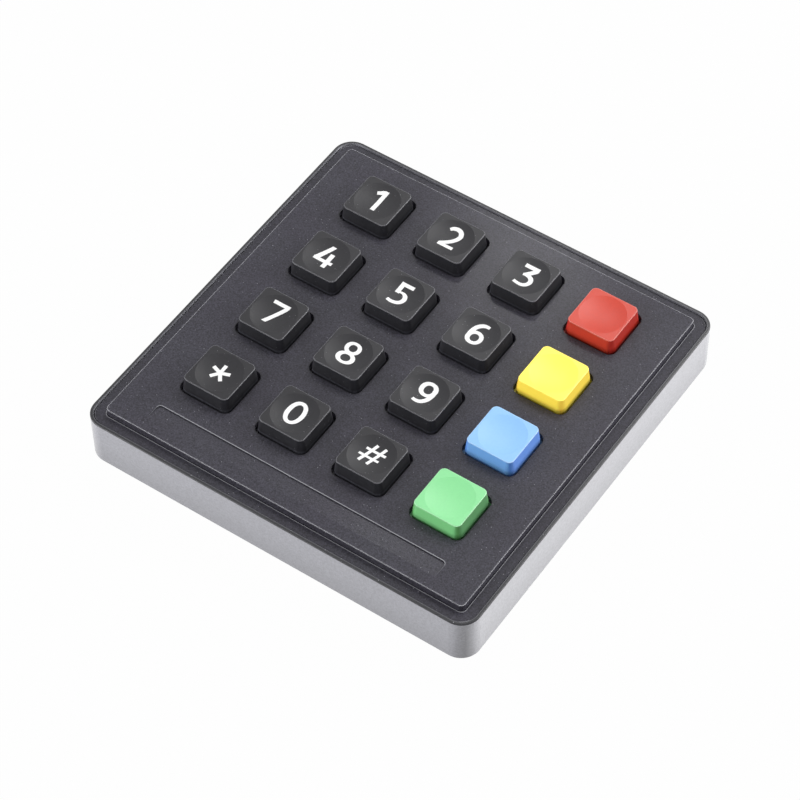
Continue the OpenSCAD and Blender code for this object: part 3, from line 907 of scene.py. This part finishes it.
@dataclass
class Legends:
    """White figures printed on the twelve black key caps, following the dish of each."""

    proud: float = 0.02 * MM
    sunk: float = 0.05 * MM
    merge_mm: float = 1e-4
    reach_mm: float = 4.0
    cell_mm: float = 0.41

    def union(self, inks: Iterable[Ink]) -> tuple[list[Vector], Faces]:
        """Merges the pieces of ink into one flat sheet of small triangles.

        Args:
            inks: Strokes, rings and blocks of one figure.

        Returns:
            Points in millimetres, and triangles of their numbers.
        """
        points: list[Vector] = []
        faces: Faces = []
        for ink in inks:
            for face in ink.faces():
                faces.append(list(range(len(points), len(points) + len(face))))
                points.extend(Vector(p) for p in face)
        half = math.ceil(self.reach_mm / self.cell_mm)
        for row in range(-half, half + 1):
            points.extend(Vector((k * self.cell_mm, row * self.cell_mm)) for k in range(-half, half + 1))
        flat, _, triangles, _, _, sources = delaunay_2d_cdt(points, [], faces, 0, self.merge_mm)
        covered = [list(t) for t, source in zip(triangles, sources) if source]
        return list(flat), covered

    def build_one(self, key: str) -> bpy.types.Object:
        """Builds the figure of one key.

        Args:
            key: The key's name.

        Returns:
            The printed figure, as a thin closed solid on the cap.
        """
        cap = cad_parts[f"key_{key}"].data
        tree = BVHTree.FromPolygons([v.co for v in cap.vertices], [p.vertices for p in cap.polygons])
        low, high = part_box(f"key_{key}")
        middle_x, middle_y = (low[0] + high[0]) / 2, (low[1] + high[1]) / 2
        flat, triangles = self.union(GLYPHS[key])
        used = sorted({i for t in triangles for i in t})
        number = {old: new for new, old in enumerate(used)}
        tops: list[Vector] = []
        for i in used:
            x, y = middle_x + flat[i].x * MM, middle_y + flat[i].y * MM
            hit, _, _, _ = tree.ray_cast(Vector((x, y, high[2] + MM)), Vector((0, 0, -1)))
            tops.append(Vector((x, y, hit.z + self.proud)))
        drop = Vector((0, 0, self.proud + self.sunk))
        count = len(tops)
        faces = [[number[i] for i in t] for t in triangles]
        sides: dict[tuple[int, int], int] = {}
        for f in faces:
            for a, b in zip(f, f[1:] + f[:1]):
                sides[(a, b)] = sides.get((a, b), 0) + 1
        walls = [[b, a, a + count, b + count] for (a, b) in sides if (b, a) not in sides]
        under = [[i + count for i in reversed(f)] for f in faces]
        mesh = bpy.data.meshes.new(f"legend_{key}")
        mesh.from_pydata(tops + [p - drop for p in tops], [], faces + walls + under)
        work = bmesh.new()
        work.from_mesh(mesh)
        bmesh.ops.recalc_face_normals(work, faces=work.faces)
        work.to_mesh(mesh)
        work.free()
        return new_object(f"legend_{key}", mesh, Finishes.LEGEND.material())

    def build(self) -> None:
        """Builds every figure and parents it to an empty named for its key."""
        for key in GLYPHS:
            piece = self.build_one(key)
            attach(piece, f"button_{key}")
            LOG.info("%s printed", piece.name)


def skin(rows: Sequence[Sequence[Point3]], start: int, looped: bool) -> Faces:
    """Bridges rows of points, each closed round an axis, with quads.

    Args:
        rows: Rows of as many points each.
        start: The number of the first point.
        looped: Whether the last row joins the first.

    Returns:
        Quads of point numbers.
    """
    across = len(rows[0])
    quads = []
    for i in range(len(rows) if looped else len(rows) - 1):
        low, high = start + i * across, start + (i + 1) % len(rows) * across
        for k in range(across):
            m = (k + 1) % across
            quads.append([low + k, low + m, high + m, high + k])
    return quads


def ridge(place: float) -> float:
    """Returns the height, 0 to 1, of a V-shaped ridge that repeats with every whole number."""
    return max(0.0, 1.0 - 3.0 * abs(place % 1.0 - 0.5))


@dataclass
class Fasteners:
    """Screws and inserts with the recess, thread and knurl that the plain solids lack.

    Sizes are in millimetres, and shares are parts of a radius or a length.
    """

    across: int = 32
    step: float = 0.1
    sharp: float = 0.5
    merge: float = 1e-5
    head_t: float = 1.2
    head_face_share: float = 0.7
    head_round: float = 0.55
    head_steps: int = 4
    shank: float = 1.1
    shank_core_share: float = 0.74
    screw_pitch: float = 0.85
    tip: float = 1.2
    tip_share: float = 0.45
    cross_depth: float = 0.8
    cross_mouth: Point2 = (1.12, 0.3)
    cross_bottom: Point2 = (0.55, 0.2)
    bore: float = 1.25
    bore_lead: float = 0.25
    bore_thread: float = 0.22
    insert_pitch: float = 0.5
    waist_from: float = 0.42
    waist_to: float = 0.58
    waist_depth: float = 0.25
    knurl_depth: float = 0.12
    knurl_every: int = 4
    chamfer: float = 0.1

    def places(self, node: str) -> list[tuple[Vector, Vector]]:
        """Finds each separate piece of a node, from left to right, so that every run has one order.

        Args:
            node: The CAD node's name.

        Returns:
            The lowest and highest corner of each piece, in millimetres.
        """
        work = bmesh.new()
        work.from_mesh(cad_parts[node].data)
        work.verts.ensure_lookup_table()
        bmesh.ops.remove_doubles(work, verts=work.verts, dist=WELD)
        left = set(work.verts)
        boxes = []
        while left:
            group, edge = set(), [left.pop()]
            while edge:
                vert = edge.pop()
                group.add(vert)
                near = {e.other_vert(vert) for e in vert.link_edges} & left
                left -= near
                edge.extend(near)
            low = Vector(min(v.co[i] for v in group) / MM for i in range(3))
            high = Vector(max(v.co[i] for v in group) / MM for i in range(3))
            boxes.append((low, high))
        work.free()
        return sorted(boxes, key=lambda box: tuple(box[0]))

    def round_row(self, middle: Vector, z: float, radii: Sequence[float]) -> list[Point3]:
        """Returns one row of points round a piece's axis at a height.

        Args:
            middle: The axis.
            z: The height.
            radii: One radius for each direction.

        Returns:
            The points.
        """
        row = []
        for k, radius in enumerate(radii):
            angle = math.tau * k / len(radii)
            row.append((middle.x + radius * math.cos(angle), middle.y + radius * math.sin(angle), z))
        return row

    def heights(self, low: float, high: float) -> list[float]:
        """Returns evenly spaced heights from low to high."""
        count = max(1, round((high - low) / self.step))
        return [low + (high - low) * k / count for k in range(count + 1)]

    def screw(self, low: Vector, high: Vector) -> tuple[list[Point3], Faces]:
        """Shapes one pan-head screw, head down, with a tapered cross recess and a coarse thread.

        Args:
            low: Its lowest corner.
            high: Its highest corner.

        Returns:
            Points and faces.
        """
        middle = (low + high) / 2
        head, n = (high.x - low.x) / 2, self.across
        face_r, core = head * self.head_face_share, self.shank * self.shank_core_share
        rim = self.round_row(middle, low.z, [face_r] * n)

        def cross(reach: float, half: float, z: float) -> list[Point3]:
            """Lays out one level of the recess.

            Args:
                reach: From its middle to an arm's end.
                half: Half an arm's width.
                z: Its height.

            Returns:
                The cross's twelve corners.
            """
            arm = [(half, half), (half, reach), (-half, reach)]
            corners = []
            for _ in range(4):
                corners += arm
                arm = [(-y, x) for x, y in arm]
            return [(middle.x + x, middle.y + y, z) for x, y in corners]

        mouth = cross(*self.cross_mouth, low.z)
        bottom = cross(*self.cross_bottom, low.z + self.cross_depth)
        flat_points = [Vector(p[:2]) for p in rim + mouth]
        outlines = [list(range(n)), list(range(n, n + 12))]
        flat, _, triangles, _, _, sources = delaunay_2d_cdt(flat_points, [], outlines, 0, self.merge)
        points = [(p.x, p.y, low.z) for p in flat]
        faces = [list(t) for t, source in zip(triangles, sources) if list(source) == [0]]
        start = len(points)
        points += mouth + bottom
        faces += skin([mouth, bottom], start, False) + [[start + 12 + k for k in range(12)]]

        rows = [rim]
        for turn in range(1, self.head_steps + 1):
            angle = math.pi / 2 * turn / self.head_steps
            radius = face_r + (head - face_r) * math.sin(angle)
            rows.append(
                self.round_row(middle, low.z + self.head_round * (1 - math.cos(angle)), [radius] * n)
            )
        rows += [
            self.round_row(middle, low.z + self.head_t, [head] * n),
            self.round_row(middle, low.z + self.head_t, [core] * n),
        ]
        for z in self.heights(low.z + self.head_t, high.z)[1:]:
            taper = min(1.0, (high.z - z) / self.tip + self.tip_share)
            wave = [ridge(z / self.screw_pitch - k / n) for k in range(n)]
            radii = [(core + (self.shank - core) * w) * taper for w in wave]
            rows.append(self.round_row(middle, z, radii))
        start = len(points)
        points += [p for row in rows for p in row]
        faces += skin(rows, start, False) + [[len(points) - n + k for k in range(n)]]
        return points, faces

    def insert(self, low: Vector, high: Vector) -> tuple[list[Point3], Faces]:
        """Shapes one insert with two knurled bands, chamfered ends and a threaded bore.

        Args:
            low: Its lowest corner.
            high: Its highest corner.

        Returns:
            Points and faces.
        """
        middle, n = (low + high) / 2, self.across * 2
        outer, height = (high.x - low.x) / 2, high.z - low.z
        mouth, shoulder = [self.bore + self.bore_lead] * n, [outer - self.chamfer] * n
        rows = [self.round_row(middle, low.z, mouth), self.round_row(middle, low.z, shoulder)]
        waist = (low.z + height * self.waist_from, low.z + height * self.waist_to)
        for z in self.heights(low.z + self.chamfer, high.z - self.chamfer):
            plain = waist[0] <= z <= waist[1]
            depth = self.waist_depth if plain else self.knurl_depth
            knurl = [0.0 if plain else ridge(k / self.knurl_every) for k in range(n)]
            rows.append(self.round_row(middle, z, [outer - depth * (1 - w) for w in knurl]))
        rows += [self.round_row(middle, high.z, shoulder), self.round_row(middle, high.z, mouth)]
        for z in reversed(self.heights(low.z + self.bore_lead, high.z - self.bore_lead)):
            wave = [ridge(z / self.insert_pitch - k / n) for k in range(n)]
            rows.append(self.round_row(middle, z, [self.bore + self.bore_thread * (1 - w) for w in wave]))
        return [p for row in rows for p in row], skin(rows, 0, True)

    def gather(self, node: str, name: str, finish: Finishes) -> bpy.types.Object:
        """Shapes every piece of a node and joins them into one object that stands for it.

        Args:
            node: The CAD node.
            name: The new piece's name.
            finish: Its finish.

        Returns:
            The new piece.
        """
        shape = self.screw if node == "cover_screws" else self.insert
        points: list[Point3] = []
        faces: Faces = []
        for low, high in self.places(node):
            more, skins = shape(low, high)
            faces += [[len(points) + i for i in f] for f in skins]
            points += more
        mesh = bpy.data.meshes.new(name)
        mesh.from_pydata([tuple(c * MM for c in p) for p in points], [], faces)
        work = bmesh.new()
        work.from_mesh(mesh)
        bmesh.ops.remove_doubles(work, verts=work.verts, dist=WELD)
        bmesh.ops.dissolve_degenerate(work, edges=work.edges, dist=WELD)
        bmesh.ops.recalc_face_normals(work, faces=work.faces)
        work.to_mesh(mesh)
        work.free()
        mesh.shade_smooth()
        mesh.set_sharp_from_angle(angle=self.sharp)
        return new_object(name, mesh, finish.material())

    def build(self) -> None:
        """Builds the screws and inserts in place of the plain solids."""
        for node, name, finish, slot in (
            ("cover_screws", "cross_screws", Finishes.COVER_SCREWS, "screw_steel"),
            ("mount_inserts", "knurled_inserts", Finishes.MOUNT_INSERTS, "insert_brass"),
        ):
            piece = self.gather(node, name, finish)
            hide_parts(node)
            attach(piece, "root")
            LOG.info("%s shaped", piece.name)


@dataclass
class Camera:
    """The photograph's viewpoint, in metres and radians."""

    place: Point3 = (0.22617, -0.32257, 0.50017)
    turn: float = 0.6135
    tilt: float = 0.6681
    roll: float = -0.0169
    lens_mm: float = 135.88
    sensor_mm: float = 36.0

    def build(self) -> None:
        """Makes the camera and sets it as the scene's."""
        data = bpy.data.cameras.new("studio_camera")
        data.lens = self.lens_mm
        data.sensor_width = self.sensor_mm
        data.clip_start = 0.01
        data.clip_end = 20.0
        obj = new_object("studio_camera", data)
        turn = Matrix.Rotation(self.turn, 4, "Z") @ Matrix.Rotation(self.tilt, 4, "X")
        obj.matrix_world = Matrix.Translation(self.place) @ turn @ Matrix.Rotation(self.roll, 4, "Z")
        bpy.context.scene.camera = obj
        LOG.info("camera set")


@dataclass(frozen=True)
class Softbox:
    """A soft area lamp that faces the keypad. Sizes in metres, power in watts."""

    name: str
    place: Point3
    size: Point2
    power: float

    def build(self) -> None:
        """Makes the lamp."""
        data = bpy.data.lights.new(self.name, "AREA")
        data.shape = "RECTANGLE"
        data.size, data.size_y = self.size
        data.energy = self.power
        obj = new_object(self.name, data)
        obj.location = self.place
        obj.rotation_mode = "QUATERNION"
        obj.rotation_quaternion = (-Vector(self.place)).to_track_quat("-Z", "Y")
        LOG.info("%s lit", self.name)


@dataclass
class Studio:
    """White table, white surroundings, three softboxes and a small lamp for the highlight."""

    fill: float = 0.3
    # The keypad stands beside the middle, because light near the diagonal of the table's square is uneven
    floor_size: float = 6.0
    floor_shift: float = 1.2
    floor_grey: str = "#aaaaaa"
    floor_glow: float = 0.985
    floor_gap: float = 0.03 * MM
    lamps: tuple[Softbox, ...] = field(
        default_factory=lambda: (
            Softbox("softbox_back", (0.04, 0.44, 0.57), (0.35, 0.25), 1.4),
            Softbox("glint_back", (-0.235, 0.432, 0.545), (0.06, 0.05), 0.16),
            Softbox("softbox_front_left", (-0.42, -0.44, 0.27), (0.54, 0.4), 3.5),
            Softbox("softbox_right", (0.46, 0.43, 0.25), (0.56, 0.36), 4.3),
        )
    )

    def seen_directly(self, tree: Tree) -> Source:
        """Tells rays of the camera, of gloss and through glass from the rest.

        Args:
            tree: The nodes of a material or the world.

        Returns:
            A value that is 1 for them.
        """
        path = add_node(tree, "ShaderNodeLightPath").outputs
        seen = path["Is Camera Ray"]
        for other in (path["Is Glossy Ray"], path["Is Transmission Ray"]):
            seen = add_node(tree, "ShaderNodeMath", (seen, other), operation="MAXIMUM")
        return seen

    def surroundings(self) -> None:
        """Makes the world: white where it is seen or mirrored, and a softer fill light."""
        world = bpy.data.worlds.new("white_surroundings")
        bpy.context.scene.world = world
        world.use_nodes = True
        tree = world.node_tree
        tree.nodes.clear()
        seen = self.seen_directly(tree)
        strength = add_node(tree, "ShaderNodeMapRange", (seen, 0.0, 1.0, self.fill, 1.0))
        glow = add_node(tree, "ShaderNodeBackground", {"Color": linear("#ffffff"), "Strength": strength})
        add_node(tree, "ShaderNodeOutputWorld", {"Surface": glow})

    def table(self) -> None:
        """Makes the table: it glows white to the eye, takes a faint shadow and is clear from below."""
        half, z = self.floor_size / 2, -self.floor_gap
        left, right = self.floor_shift - half, self.floor_shift + half
        mesh = bpy.data.meshes.new("table_top")
        corners = [(left, -half, z), (right, -half, z), (right, half, z), (left, half, z)]
        mesh.from_pydata(corners, [], [(0, 1, 2, 3)])
        material = bpy.data.materials.new("table_white_laminate")
        material.use_nodes = True
        tree = material.node_tree
        tree.nodes.clear()
        matt = add_node(tree, "ShaderNodeBsdfDiffuse", {"Color": linear(self.floor_grey)})
        glow = add_node(tree, "ShaderNodeEmission", {"Color": linear("#ffffff"), "Strength": 1.0})
        share = add_node(
            tree, "ShaderNodeMath", (self.seen_directly(tree), self.floor_glow), operation="MULTIPLY"
        )
        mixed = add_node(tree, "ShaderNodeMixShader", (share, matt, glow))
        clear = add_node(tree, "ShaderNodeBsdfTransparent")
        below = add_node(tree, "ShaderNodeNewGeometry").outputs["Backfacing"]
        sided = add_node(tree, "ShaderNodeMixShader", (below, mixed, clear))
        add_node(tree, "ShaderNodeOutputMaterial", {"Surface": sided})
        top = new_object("table_top", mesh, material)

    def build(self) -> None:
        """Makes the world, the table and the lamps."""
        self.surroundings()
        self.table()
        for lamp in self.lamps:
            lamp.build()
        bpy.context.scene.view_settings.view_transform = "Standard"
        LOG.info("studio built")


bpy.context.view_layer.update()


def write_sizes() -> None:
    """Updates the view layer."""
    bpy.context.view_layer.update()


def main() -> None:
    """Builds the camera, the studio, the finishes and the pieces, in that order."""
    logging.basicConfig(level=logging.INFO, format="%(name)s: %(message)s")
    Camera().build()
    Studio().build()
    dress_cad_nodes()
    Legends().build()
    Fasteners().build()
    write_sizes()


if __name__ == "__main__":
    main()
